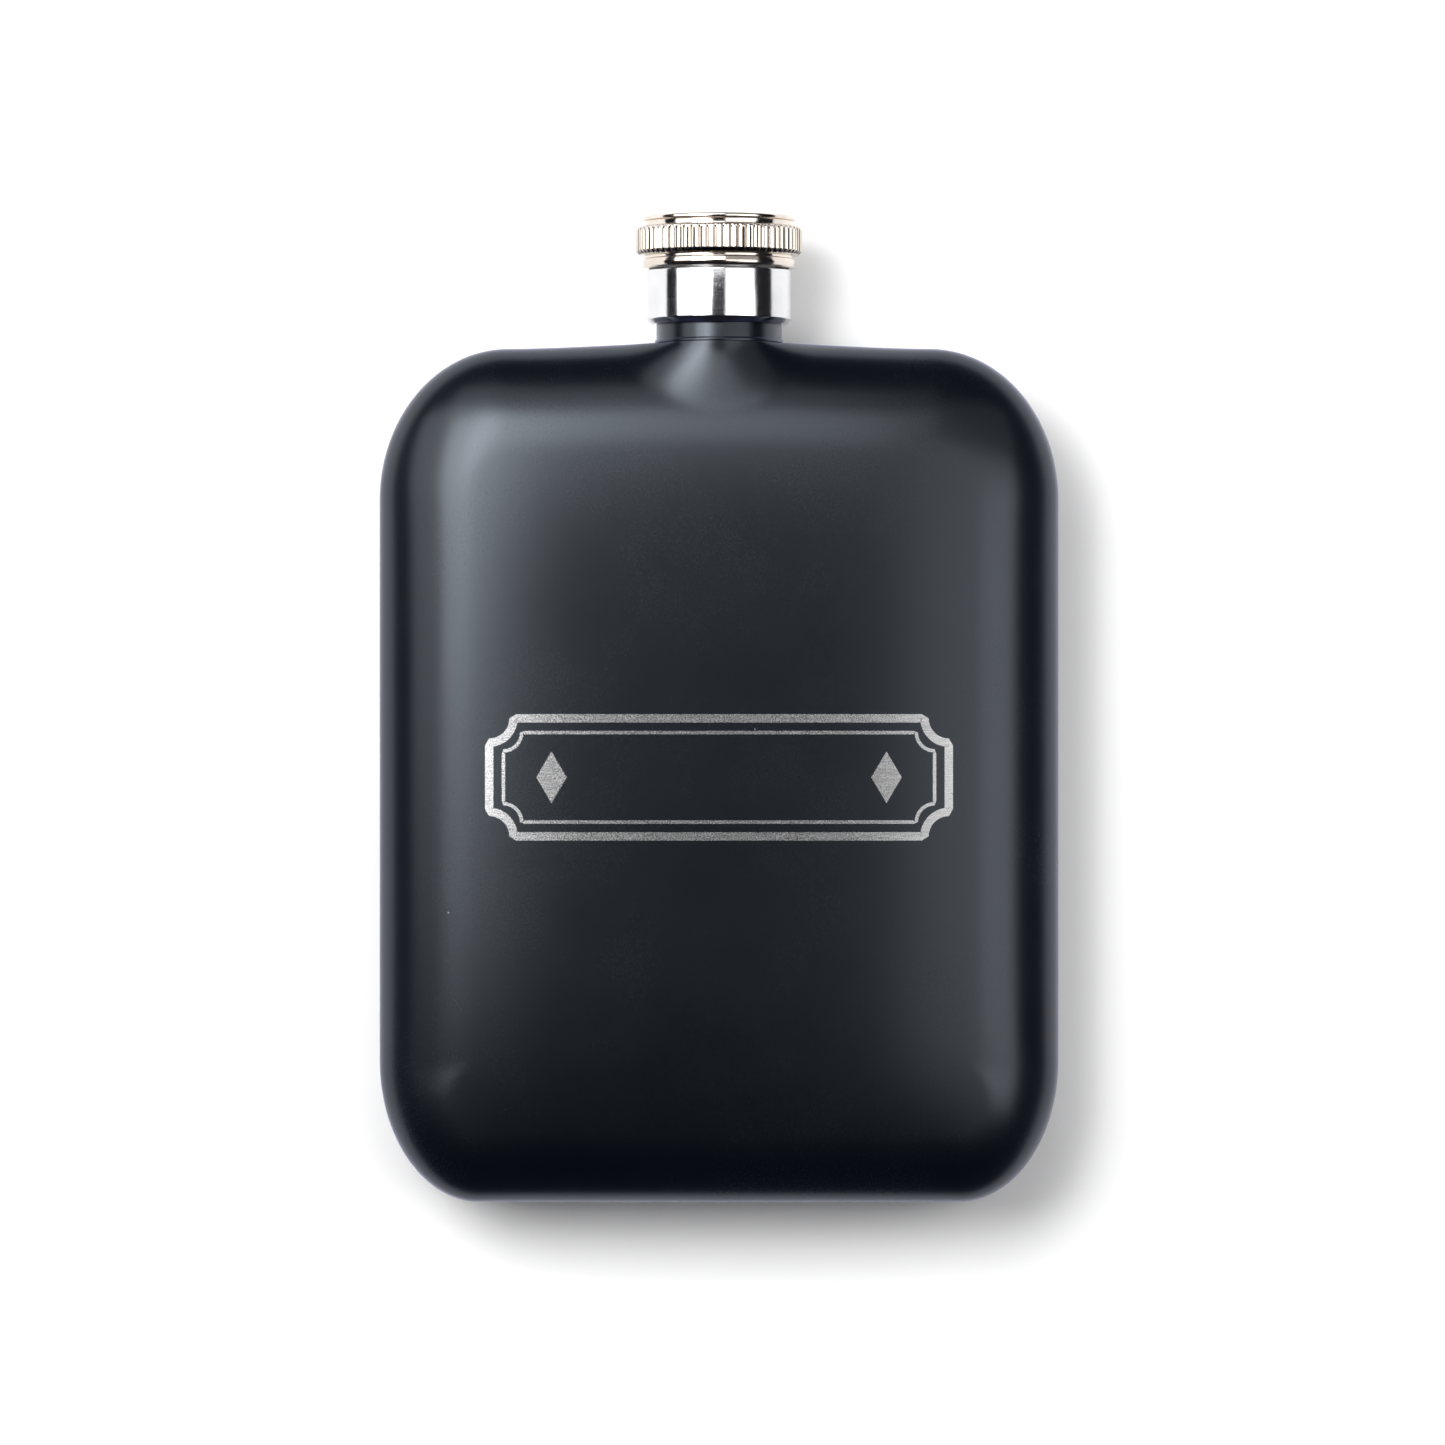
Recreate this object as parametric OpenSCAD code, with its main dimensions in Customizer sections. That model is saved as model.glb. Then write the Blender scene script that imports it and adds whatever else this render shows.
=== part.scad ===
// Hip flask: two drawn steel half-shells with a hip curve, a welded neck and a knurled screw cap.
// +Z runs up the neck, X is the width, Y the thickness, and the domed front face looks along -Y.
// The origin is on the ground under the neck's axis. Lengths are in millimetres.

/* [Body] */
// Width of the body
body_w = 90; // [84:1:96]
// Height of the body at its shoulders
body_h = 112.9; // [108:0.1:118]
// Thickness of the body, front face to back face, on the neck's axis
body_t = 22; // [21:0.5:24]
// How far the sides sweep back from the middle, so that the flask follows a hip
hip_bend = 1.6; // [0:0.2:5]
// How much each face pillows between its rolled edges
face_crown = 3; // [1:0.2:4]
// Sheet thickness of the shells
wall = 0.7; // [0.5:0.1:0.8]

/* [Outline] */
// Width of the elliptical top corners
top_corner_w = 17; // [15:0.5:20]
// Height of the elliptical top corners
top_corner_h = 20; // [16:0.5:24]
// Width of the elliptical bottom corners
bottom_corner_w = 13.2; // [12.6:0.2:16]
// Height of the elliptical bottom corners
bottom_corner_h = 18.6; // [14:0.2:22]
// Rise of the shoulder line from the corners to the neck
shoulder_rise = 0.8; // [0:0.1:1.5]

/* [Rolled edges] */
// Width of the roll along the sides
side_roll = 12.5; // [9:0.5:12.5]
// Width of the roll along the shoulders
top_roll = 14; // [9:0.5:15]
// Width of the roll along the base
bottom_roll = 9; // [6:0.5:10]
// Straight flange of each shell at the sides and shoulders
side_flange = 2.6; // [1:0.2:3]
// Straight flange of each shell at the base, which forms the land that the flask stands on
bottom_flange = 4.2; // [3:0.2:4.6]

/* [Neck] */
// Radius of the drawn half-cones where they meet the neck
flare_r = 8.6; // [8.5:0.1:9]
// Length of the drawn half-cones down each face
flare_len = 10; // [8:1:14]
// Softness of the blend between the half-cones and the shoulders
flare_blend = 4; // [1:0.5:5]
// How fast each half-cone widens below the neck
flare_spread = 2; // [1:0.25:3]
// Outer radius of the spout tube
spout_r = 7.6; // [7.4:0.1:7.7]
// Radius of the bore that the flask pours from
bore_r = 6.6; // [6:0.1:6.8]
// Outer radius of the painted ferrule
ferrule_r = 8.3; // [8.1:0.1:8.5]
// Height of the ferrule above the shoulders
ferrule_h = 2.5; // [1.5:0.1:3]
// Outer radius of the polished collar
collar_r = 9.65; // [9.2:0.05:9.9]
// Height of the collar
collar_h = 7.2; // [6:0.1:9]
// Rounding at the collar's two outer edges
collar_round = 0.4; // [0.2:0.1:0.6]

/* [Thread] */
// Rise of the cap for one turn
pitch = 2.4; // [2:0.1:2.4]
// Number of turns on the spout and in the liner
thread_turns = 1.1; // [0.8:0.1:1.1]
// Height of the thread above the wall that it stands on
thread_depth = 0.7; // [0.5:0.05:0.7]

/* [Cap] */
// Height of the cap
cap_h = 6.9; // [6.9:0.1:9]
// Radius over the knurl
knurl_r = 11.05; // [10.9:0.05:11.5]
// Number of teeth in the knurl
teeth = 64; // [48:2:72]
// Sheet thickness of the cap's crown
cap_sheet = 0.65; // [0.5:0.05:0.7]
// Wall of the threaded liner
liner_wall = 0.8; // [0.7:0.05:0.8]
// Thickness of the seal disc
seal_t = 0.9; // [0.6:0.1:0.9]

/* [Hidden] */
$fn = 96;

half_w = body_w / 2;
half_t = body_t / 2;
top_cx = half_w - top_corner_w;          // centres of the elliptical corners
top_cz = body_h - top_corner_h;
bottom_cx = half_w - bottom_corner_w;
bottom_cz = bottom_corner_h;
mid_z = body_h / 2;
crown_half_h = body_h * 0.52;            // the pillow runs out this far above and below the middle
crown_power = 5;                         // keeps the pillow flat in the middle of the face
roll_power = 2.3;                        // a little squarer than an ellipse, which has 2
flare_fade = 0.6;                        // how soon their blend closes up away from the neck
spine_low = body_h * 0.36;               // the rings of each face close on this upright line
spine_high = body_h * 0.66;
spine_splay = 0.1;                       // its ends open into a V, so that no triangle there is flat
shoulder_z = body_h + shoulder_rise;     // top of the shells at the neck

ferrule_top = shoulder_z + ferrule_h;
collar_top = ferrule_top + collar_h;
hole_r = spout_r + 0.08;                 // hole for the spout between the two shells
spout_foot = 5.7;                        // length of the spout below the shoulders
cap_gap = 0.2;                           // parting gap between the collar and the cap
cap_z = collar_top + cap_gap;
cap_top = cap_z + cap_h;
crown_dip = 0.25;                        // the crown lies this far below its rim bead
running_gap = 0.05;                      // gap on each side of the seal disc
thread_gap = 0.2;                        // radial gap between the two threads
liner_roof_t = 0.6;
liner_bore_r = spout_r + thread_depth + thread_gap;
liner_r = liner_bore_r + liner_wall;
liner_z = cap_z + 0.2;
liner_top = cap_top - crown_dip - cap_sheet;
liner_roof = liner_top - liner_roof_t;
seal_r = liner_bore_r - 0.1;
seal_z = liner_roof - running_gap - seal_t;
spout_top = seal_z - running_gap;

ridge_bite = 0.2;                        // each ridge is rooted this far inside its tube's wall
ridge_margin = 0.6;                      // each ridge's middle stops this far short of its tube's end
thread_z = spout_top - ridge_margin - pitch * thread_turns;   // middle of the spout's ridge where it starts

// Plan of the polyhedra that make the shells
neck_steps = 9;       // outline steps round a quarter of the neck's hole
shoulder_steps = 10;
corner_steps = 8;
side_steps = 9;
base_steps = 6;
face_rings = 13;      // rings from the flange to the spine
ring_power = 1.7;     // closes the rings up towards the rolled edge
last_ring = 0.95;     // how far towards the spine the last ring lies

// --- Shape of the body ---------------------------------------------------------------------

// Y of the surface midway between the faces
function bend_y(x) = hip_bend * pow(x / half_w, 2);

// Height of the shoulder line
function shoulder_line(x) =
    body_h + (abs(x) < top_cx ? shoulder_rise * pow(1 - pow(x / top_cx, 2), 2) : 0);

// A corner's direction as an angle in its ellipse: 0 at the side, 90 at the top or the base
function corner_angle(dx, dz, w, h) = atan2(dz / h, dx / w);

// Distance from a corner's ellipse along the ray to its centre
function corner_inset(dx, dz, w, h) =
    let (len = norm([dx, dz]), scale = norm([dx / w, dz / h])) len / scale - len;

// [distance inside the outline, roll width, flange] at a point of the face
function edge_at(x, z) =
    let (ax = abs(x))
    z > top_cz ?
        (ax > top_cx ?
            let (a = corner_angle(ax - top_cx, z - top_cz, top_corner_w, top_corner_h))
            [corner_inset(ax - top_cx, z - top_cz, top_corner_w, top_corner_h),
             side_roll * pow(cos(a), 2) + top_roll * pow(sin(a), 2), side_flange]
        : [shoulder_line(x) - z, top_roll, side_flange])
    : z < bottom_cz ?
        (ax > bottom_cx ?
            let (a = corner_angle(ax - bottom_cx, bottom_cz - z, bottom_corner_w, bottom_corner_h))
            [corner_inset(ax - bottom_cx, bottom_cz - z, bottom_corner_w, bottom_corner_h),
             side_roll * pow(cos(a), 2) + bottom_roll * pow(sin(a), 2),
             side_flange * pow(cos(a), 2) + bottom_flange * pow(sin(a), 2)]
        : [z, bottom_roll, bottom_flange])
    : [half_w - ax, side_roll, side_flange];

// Quarter roll from 0 at the flange to 1 on the face
function roll(e) = e >= 1 ? 1 : e <= 0 ? 0 : sqrt(1 - pow(1 - e, roll_power));

// Depth of the drawn half-cone under the neck: round at the top, wider as it goes down, then gone
function flare(x, z) =
    let (s = shoulder_z - z)
    flare_r - x * x / (2 * (flare_r + flare_spread * s)) - max(0, s - flare_len);

// The larger of two depths, blended over k
function soft_max(a, b, k) = abs(a - b) >= k ? max(a, b) : max(a, b) + pow(k - abs(a - b), 2) / (4 * k);

// Distance from the middle surface to a face that lies inset inside the outer one
function depth(x, z, inset) =
    let (e = edge_at(x, z),
         crown = face_crown * (1 - pow(abs(x) / half_w, crown_power))
             * (1 - pow(abs(z - mid_z) / crown_half_h, crown_power)),
         rolled = e[2] + (half_t - face_crown - e[2] - inset) * roll((e[0] - inset) / (e[1] - inset)),
         near = min(1, max(0.001, 1 - (shoulder_z - z) / flare_len)))
    soft_max(rolled + crown * roll(e[0] / e[1]), flare(x, z) - inset, flare_blend * pow(near, flare_fade));

// --- Polyhedra of the shells ---------------------------------------------------------------

// Right half of the outline, from the top of the neck round to the middle of the base
right_outline = concat(
    [for (i = [0:neck_steps - 1]) let (x = hole_r * sin(90 * i / neck_steps)) [x, shoulder_line(x)]],
    [for (i = [0:shoulder_steps - 1])
        let (x = hole_r + (top_cx - hole_r) * pow(i / shoulder_steps, 1.3)) [x, shoulder_line(x)]],
    [for (i = [0:corner_steps - 1]) let (a = 90 - 90 * i / corner_steps)
        [top_cx + top_corner_w * cos(a), top_cz + top_corner_h * sin(a)]],
    [for (i = [0:side_steps - 1]) [half_w, top_cz + (bottom_cz - top_cz) * i / side_steps]],
    [for (i = [0:corner_steps - 1]) let (a = 90 * i / corner_steps)
        [bottom_cx + bottom_corner_w * cos(a), bottom_cz - bottom_corner_h * sin(a)]],
    [for (i = [0:base_steps]) [bottom_cx * (1 - i / base_steps), 0]]);
half_count = len(right_outline);
outline = concat(right_outline,
    [for (i = [half_count - 2:-1:1]) [-right_outline[i][0], right_outline[i][1]]]);
count = len(outline);

// An outline point moved inwards, so that it lies at this distance from the outline
function inset_point(p, inset) =
    let (ax = abs(p[0]), side = p[0] < 0 ? -1 : 1)
    p[1] > top_cz ?
        (ax > top_cx ? shrink(p, [side * top_cx, top_cz], inset) : [p[0], p[1] - inset])
    : p[1] < bottom_cz ?
        (ax > bottom_cx ? shrink(p, [side * bottom_cx, bottom_cz], inset) : [p[0], p[1] + inset])
    : [p[0] - side * inset, p[1]];
function shrink(p, c, inset) = c + (p - c) * (1 - inset / norm(p - c));

// A point of a ring: t is 0 at the outline and 1 on the spine
function ring_point(p, t) =
    let (splay = spine_splay * abs(p[0]))
    p + ([0, min(spine_high - splay, max(spine_low + splay, p[1]))] - p) * t;

// Points of one face of a shell. side is -1 for the front and 1 for the back.
// The first ring is the seam, or the edge of the neck's hole. The second is the end of the flange.
function face_points(side, inset) = concat(
    [for (p = outline) let (q = inset_point(p, inset), top = p[1] > mid_z && abs(p[0]) < hole_r,
        hole = top ? sqrt(hole_r * hole_r - p[0] * p[0]) : 0)
        [q[0], bend_y(q[0]) + side * hole, q[1]]],
    [for (j = [0:face_rings], p = outline)
        let (t = last_ring * pow(j / face_rings, ring_power), q = ring_point(inset_point(p, inset), t))
        [q[0], bend_y(q[0]) + side * depth(q[0], q[1], inset), q[1]]]);

// Faces between neighbouring rings, then across the last ring from its right half to its left
ring_count = face_rings + 2;
function strip_faces(base) = [for (j = [0:ring_count - 2], i = [0:count - 1])
    let (a = base + j * count + i, b = base + j * count + (i + 1) % count)
    each [[a, b, b + count], [a, b + count, a + count]]];
function closing_faces(base) =
    let (r = base + (ring_count - 1) * count)
    concat([[r, r + 1, r + count - 1]],
        [for (i = [1:half_count - 3]) each
            [[r + i, r + i + 1, r + count - i - 1], [r + i, r + count - i - 1, r + count - i]]],
        [[r + half_count - 2, r + half_count - 1, r + count - half_count + 2]]);
function flipped(faces) = [for (f = faces) [f[2], f[1], f[0]]];

module half_shell(side) {
    outer = face_points(side, 0);
    inner = face_points(side, wall);
    n = len(outer);
    outer_faces = concat(strip_faces(0), closing_faces(0));
    inner_faces = flipped(concat(strip_faces(n), closing_faces(n)));
    seam_faces = [for (i = [0:count - 1]) let (j = (i + 1) % count)
        each [[i, i + n, j + n], [i, j + n, j]]];
    all_faces = concat(outer_faces, inner_faces, seam_faces);
    polyhedron(points = concat(outer, inner), faces = side < 0 ? flipped(all_faces) : all_faces,
        convexity = 6);
}

// --- Threads --------------------------------------------------------------------------------

// A right-handed helical ridge from one radius to another, tapered away at both ends.
// Its middle starts at this height and angle.
module ridge(root_r, crest_r, start_z, start_angle) {
    step = 10;
    sections = round(thread_turns * 360 / step);
    fade = 4;            // sections over which the ridge grows to its full height
    root_half = 0.5;
    crest_half = 0.25;
    points = [for (i = [0:sections])
        let (a = start_angle + i * step, z = start_z + pitch * i * step / 360,
             grown = min(1, i / fade, (sections - i) / fade),
             tip = root_r + (crest_r - root_r) * (0.1 + 0.9 * grown))
        each [for (q = [[root_r, -root_half], [tip, -crest_half], [tip, crest_half], [root_r, root_half]])
            [q[0] * cos(a), q[0] * sin(a), z + q[1]]]];
    last = sections * 4;
    sides = [for (i = [0:sections - 1], k = [0:3])
        let (a = i * 4 + k, b = i * 4 + (k + 1) % 4)
        each [[a, b, b + 4], [a, b + 4, a + 4]]];
    ends = [[0, 2, 1], [0, 3, 2], [last, last + 1, last + 2], [last, last + 2, last + 3]];
    faces = concat(sides, ends);
    polyhedron(points = points, faces = crest_r > root_r ? faces : flipped(faces), convexity = 4);
}

// --- Sub-parts -------------------------------------------------------------------------------

module front_shell() {
    color("#20232b") half_shell(-1);
}

module back_shell() {
    color("#20232b") half_shell(1);
}

// Painted ring welded round the spout, where it leaves the shoulders
module neck_ferrule() {
    foot_h = 0.4;
    color("#20232b")
    rotate_extrude()
    polygon([[spout_r, shoulder_z], [flare_r - 0.1, shoulder_z], [flare_r - 0.1, shoulder_z + foot_h],
             [ferrule_r, shoulder_z + foot_h + 0.1], [ferrule_r, ferrule_top], [spout_r, ferrule_top]]);
}

// Polished steel sleeve between the ferrule and the cap
module neck_collar() {
    turn_in = 0.6;       // the foot turns in towards the ferrule
    color("#c9cbce")
    rotate_extrude()
    polygon([[spout_r, ferrule_top], [collar_r - turn_in, ferrule_top],
             [collar_r - collar_round / 2, ferrule_top + collar_round],
             [collar_r, ferrule_top + 2 * collar_round], [collar_r, collar_top - collar_round],
             [collar_r - collar_round, collar_top], [spout_r, collar_top]]);
}

// Steel tube that the flask pours from, with the thread that carries the cap
module threaded_spout() {
    length = spout_top - shoulder_z + spout_foot;
    color("#bfc2c6")
    union() {
        translate([0, 0, shoulder_z - spout_foot])
        difference() {
            cylinder(r = spout_r, h = length);
            translate([0, 0, -1]) cylinder(r = bore_r, h = length + 2);
        }
        ridge(spout_r - ridge_bite, spout_r + thread_depth, thread_z, 0);
    }
}

// Spun cap with a rolled bead, a knurled band and a rim bead
module cap_shell() {
    lip_r = 10.2;
    groove_r = 9.85;
    recess_r = 9.95;
    rim_r = 10.33;
    rim_h = 0.65;
    lip_h = 1.25;
    knurl_z = cap_z + 1.9;
    knurl_h = cap_h - 3.5;
    tooth_gap_r = 0.24;
    color("#cbb9a6")
    difference() {
        rotate_extrude()
        polygon([
            [liner_r, cap_z], [lip_r - 0.25, cap_z], [lip_r, cap_z + 0.35], [lip_r, cap_z + lip_h - 0.35],
            [groove_r, cap_z + lip_h], [groove_r, cap_z + 1.6], [knurl_r - 0.5, cap_z + 1.7],
            [knurl_r, knurl_z + 0.3], [knurl_r, knurl_z + knurl_h - 0.1],
            [knurl_r - 0.4, knurl_z + knurl_h + 0.2], [recess_r, knurl_z + knurl_h + 0.25],
            [recess_r, cap_top - rim_h], [rim_r, cap_top - rim_h + 0.2], [rim_r, cap_top - 0.2],
            [rim_r - 0.2, cap_top], [rim_r - 0.6, cap_top], [rim_r - 0.8, cap_top - crown_dip],
            [0, cap_top - crown_dip], [0, liner_top], [liner_r, liner_top]]);
        for (i = [0:teeth - 1])
            rotate(360 * i / teeth)
            translate([knurl_r, 0, knurl_z])
            cylinder(r = tooth_gap_r, h = knurl_h, $fn = 24);
    }
}

// Threaded liner, pressed into the cap
module cap_liner() {
    start_z = liner_z + ridge_margin + 0.1;
    start_angle = 360 * (start_z - thread_z) / pitch + 180;   // half a pitch from the spout's ridge
    color("#d8d6cf")
    union() {
        rotate_extrude()
        polygon([[liner_bore_r, liner_z], [liner_r, liner_z], [liner_r, liner_top], [0, liner_top],
                 [0, liner_roof], [liner_bore_r, liner_roof]]);
        ridge(liner_bore_r + ridge_bite, liner_bore_r - thread_depth, start_z, start_angle);
    }
}

// Soft disc that the cap presses on the spout's rim
module cap_seal() {
    color("#e8e4da")
    translate([0, 0, seal_z]) cylinder(r = seal_r, h = seal_t);
}

front_shell();
back_shell();
neck_ferrule();
neck_collar();
threaded_spout();
cap_shell();
cap_liner();
cap_seal();
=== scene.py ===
"""Looks of a hip flask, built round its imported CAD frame.

The flask stands along +Z with its pillowed front face towards -Y. Lengths are in metres, apart from the
shape formulas of the body, which work in millimetres as the CAD design does.
"""

import math

import bpy
import numpy as np
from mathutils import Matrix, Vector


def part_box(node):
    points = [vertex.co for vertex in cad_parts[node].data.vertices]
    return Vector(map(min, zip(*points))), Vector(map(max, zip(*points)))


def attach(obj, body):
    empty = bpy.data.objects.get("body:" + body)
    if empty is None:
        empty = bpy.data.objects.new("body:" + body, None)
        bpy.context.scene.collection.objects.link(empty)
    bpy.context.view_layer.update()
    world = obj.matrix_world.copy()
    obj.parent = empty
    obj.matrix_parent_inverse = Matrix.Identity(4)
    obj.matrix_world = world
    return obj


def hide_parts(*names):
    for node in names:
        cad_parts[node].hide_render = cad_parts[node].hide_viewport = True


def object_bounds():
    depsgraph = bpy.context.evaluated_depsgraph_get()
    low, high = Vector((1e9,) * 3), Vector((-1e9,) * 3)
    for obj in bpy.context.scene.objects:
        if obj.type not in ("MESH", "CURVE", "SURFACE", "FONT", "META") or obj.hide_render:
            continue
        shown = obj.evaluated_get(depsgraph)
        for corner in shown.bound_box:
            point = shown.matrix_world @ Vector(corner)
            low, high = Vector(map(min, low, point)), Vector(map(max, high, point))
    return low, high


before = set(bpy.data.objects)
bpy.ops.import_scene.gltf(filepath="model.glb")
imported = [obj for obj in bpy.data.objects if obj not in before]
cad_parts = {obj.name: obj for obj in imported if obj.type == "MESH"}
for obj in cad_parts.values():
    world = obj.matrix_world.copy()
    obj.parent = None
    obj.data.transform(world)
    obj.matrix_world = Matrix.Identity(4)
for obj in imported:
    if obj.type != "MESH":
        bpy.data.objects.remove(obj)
cad_low, cad_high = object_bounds()

MM = 0.001

# --- Sizes taken from the frame, in millimetres ------------------------------------------------


def box_mm(node):
    """Lowest and highest corner of a CAD node, in millimetres."""
    low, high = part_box(node)
    return low / MM, high / MM


shell_high = box_mm("front_shell")[1]
ferrule_low, ferrule_high = box_mm("neck_ferrule")
collar_low, collar_high = box_mm("neck_collar")
spout_low, spout_high = box_mm("threaded_spout")
cap_low, cap_high = box_mm("cap_shell")
liner_low, liner_high = box_mm("cap_liner")
seal_low, seal_high = box_mm("cap_seal")

HALF_W = shell_high.x
SHOULDER_Z = shell_high.z
COLLAR_R = collar_high.x
LINER_R = liner_high.x
SEAL_R = seal_high.x
SPOUT_TOP = spout_high.z
CAP_Z = cap_low.z
CAP_TOP = cap_high.z

# Sizes that the design sets and a box can't show
SHOULDER_RISE = 0.8
HALF_T = 11.0
HIP_BEND = 1.6
FACE_CROWN = 3.0
CROWN_POWER = 5
WALL = 0.7
TOP_CORNER = (17.0, 20.0)
BOTTOM_CORNER = (13.2, 18.6)
SIDE_ROLL, TOP_ROLL, BOTTOM_ROLL = 12.5, 14.0, 9.0
SIDE_FLANGE, BOTTOM_FLANGE = 2.6, 4.2
ROLL_POWER = 2.3    # 2 would make the rolls quarter ellipses
FLARE_R, FLARE_LEN, FLARE_SPREAD = 8.6, 10.0, 2.0
FLARE_BLEND, FLARE_FADE = 4.0, 0.6
SPOUT_R, BORE_R, HOLE_R = 7.6, 6.6, 7.65
LINER_BORE_R = 8.5
PITCH, THREAD_TURNS, THREAD_DEPTH = 2.4, 1.1, 0.7
THREAD_TOP_GAP, LINER_THREAD_GAP = 0.6, 0.7     # from the spout's mouth, and from the liner's lip
RIDGE_HALF, RIDGE_FLANK = 0.46, 0.22            # half the ridge's foot, and the width of its slope
RIDGE_RUN_OUT = math.radians(40)
KNURL_R, TEETH = 11.05, 64

BODY_H = SHOULDER_Z - SHOULDER_RISE
TOP_CX, TOP_CZ = HALF_W - TOP_CORNER[0], BODY_H - TOP_CORNER[1]
BOTTOM_CX, BOTTOM_CZ = HALF_W - BOTTOM_CORNER[0], BOTTOM_CORNER[1]
MID_Z = BODY_H / 2
CROWN_HALF_H = BODY_H * 0.52
SPINE_LOW, SPINE_HIGH = BODY_H * 0.36, BODY_H * 0.66    # a face's rings close on this upright line
SPINE_SPLAY = 0.1                                       # which opens into a V at its ends
THREAD_Z = SPOUT_TOP - THREAD_TOP_GAP - PITCH * THREAD_TURNS
LINER_THREAD_Z = liner_low.z + LINER_THREAD_GAP

# Fineness of the turned pieces
ROUND_SEGMENTS, THREAD_SEGMENTS, SEAL_SEGMENTS, TOOTH_SEGMENTS = 256, 240, 192, 14
THREAD_STEP, KNURL_STEP = 0.055, 0.16

# --- Shape of the body, in millimetres ----------------------------------------------------------


def bend_y(x):
    """Y of the surface midway between the faces."""
    return HIP_BEND * (x / HALF_W) ** 2


def shoulder_line(x):
    """Height of the outline's top edge, which swells a little towards the neck."""
    inside = np.clip(1 - (x / TOP_CX) ** 2, 0, None)
    return BODY_H + SHOULDER_RISE * inside ** 2


def corner(dx, dz, size):
    """Distance inside a corner's ellipse along the ray to its centre, and how far it faces sideways."""
    tiny = 1e-9
    dx, dz = np.maximum(dx, tiny), np.maximum(dz, tiny)
    length, scale = np.hypot(dx, dz), np.hypot(dx / size[0], dz / size[1])
    sideways = (dx / size[0] / scale) ** 2
    return length / scale - length, sideways


def edge_at(x, z):
    """Distance inside the outline, roll width and flange at points of the face."""
    ax = np.abs(x)
    distance, roll_w, flange = HALF_W - ax, np.full_like(ax, SIDE_ROLL), np.full_like(ax, SIDE_FLANGE)
    top, bottom = z > TOP_CZ, z < BOTTOM_CZ
    top_corner, bottom_corner = top & (ax > TOP_CX), bottom & (ax > BOTTOM_CX)
    top_d, top_s = corner(ax - TOP_CX, z - TOP_CZ, TOP_CORNER)
    low_d, low_s = corner(ax - BOTTOM_CX, BOTTOM_CZ - z, BOTTOM_CORNER)
    distance = np.where(top, np.where(top_corner, top_d, shoulder_line(x) - z), distance)
    roll_w = np.where(top, np.where(top_corner, TOP_ROLL + (SIDE_ROLL - TOP_ROLL) * top_s, TOP_ROLL), roll_w)
    distance = np.where(bottom, np.where(bottom_corner, low_d, z), distance)
    low_roll = np.where(bottom_corner, BOTTOM_ROLL + (SIDE_ROLL - BOTTOM_ROLL) * low_s, BOTTOM_ROLL)
    low_flange = np.where(bottom_corner, BOTTOM_FLANGE + (SIDE_FLANGE - BOTTOM_FLANGE) * low_s, BOTTOM_FLANGE)
    return distance, np.where(bottom, low_roll, roll_w), np.where(bottom, low_flange, flange)


def roll(e):
    """Quarter roll, from 0 at the flange to 1 on the face."""
    return np.sqrt(1 - (1 - np.clip(e, 0, 1)) ** ROLL_POWER)


def flare(x, z):
    """Depth of the half-cone drawn under the neck, which spreads sideways and ends below FLARE_LEN."""
    s = SHOULDER_Z - z
    return FLARE_R - x ** 2 / (2 * (FLARE_R + FLARE_SPREAD * s)) - np.clip(s - FLARE_LEN, 0, None)


def soft_max(a, b, k):
    """The larger of two depths, blended over k."""
    gap = np.clip(k - np.abs(a - b), 0, None)
    return np.maximum(a, b) + gap ** 2 / (4 * k)


def depth(x, z, inset):
    """Distance from the middle surface to a face that lies inset inside the outer one."""
    distance, roll_w, flange = edge_at(x, z)
    across, along = np.abs(x) / HALF_W, np.abs(z - MID_Z) / CROWN_HALF_H
    crown = FACE_CROWN * (1 - across ** CROWN_POWER) * (1 - along ** CROWN_POWER)
    rise = roll((distance - inset) / (roll_w - inset))
    rolled = flange + (HALF_T - FACE_CROWN - flange - inset) * rise
    near = np.clip(1 - (SHOULDER_Z - z) / FLARE_LEN, 0.001, 1)
    face = rolled + crown * roll(distance / roll_w)
    return soft_max(face, flare(x, z) - inset, FLARE_BLEND * near ** FLARE_FADE)


# --- Mesh helpers -------------------------------------------------------------------------------


def mesh_object(name, points_mm, faces, sharp_degrees=35):
    """A smooth-shaded object from points in millimetres, with edges above an angle kept sharp."""
    mesh = bpy.data.meshes.new(name)
    mesh.from_pydata((np.asarray(points_mm) * MM).tolist(), [], faces)
    mesh.update()
    mesh.shade_smooth()
    mesh.set_sharp_from_angle(angle=math.radians(sharp_degrees))
    piece = bpy.data.objects.new(name, mesh)
    bpy.context.collection.objects.link(piece)
    return piece


def finish_piece(piece, material, slot, body, *nodes):
    """Gives a piece its material and body, and hides the CAD nodes that it stands for. slot is not used."""
    piece.data.materials.append(material)
    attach(piece, body)
    if nodes:
        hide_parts(*nodes)


def filleted(corners, steps=6):
    """A profile of (r, z) points from corners of (r, z, radius), each rounded by an arc."""
    out = []
    count = len(corners)
    for i, (r, z, radius) in enumerate(corners):
        here = np.array((r, z), float)
        before = np.array(corners[i - 1][:2], float) - here
        after = np.array(corners[(i + 1) % count][:2], float) - here
        if radius <= 0:
            out.append(here)
            continue
        before_len, after_len = np.linalg.norm(before), np.linalg.norm(after)
        before, after = before / before_len, after / after_len
        half = math.acos(np.clip(before @ after, -1, 1)) / 2
        reach = min(radius / math.tan(half), 0.49 * before_len, 0.49 * after_len)
        radius = reach * math.tan(half)
        middle = before + after
        centre = here + middle / np.linalg.norm(middle) * radius / math.sin(half)
        start, end = here + before * reach - centre, here + after * reach - centre
        sweep = math.pi - 2 * half
        turn = np.sign(start[0] * end[1] - start[1] * end[0])
        for k in range(steps + 1):
            a = turn * sweep * k / steps
            out.append(centre + (start[0] * math.cos(a) - start[1] * math.sin(a),
                                 start[0] * math.sin(a) + start[1] * math.cos(a)))
    return np.array(out)


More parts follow.
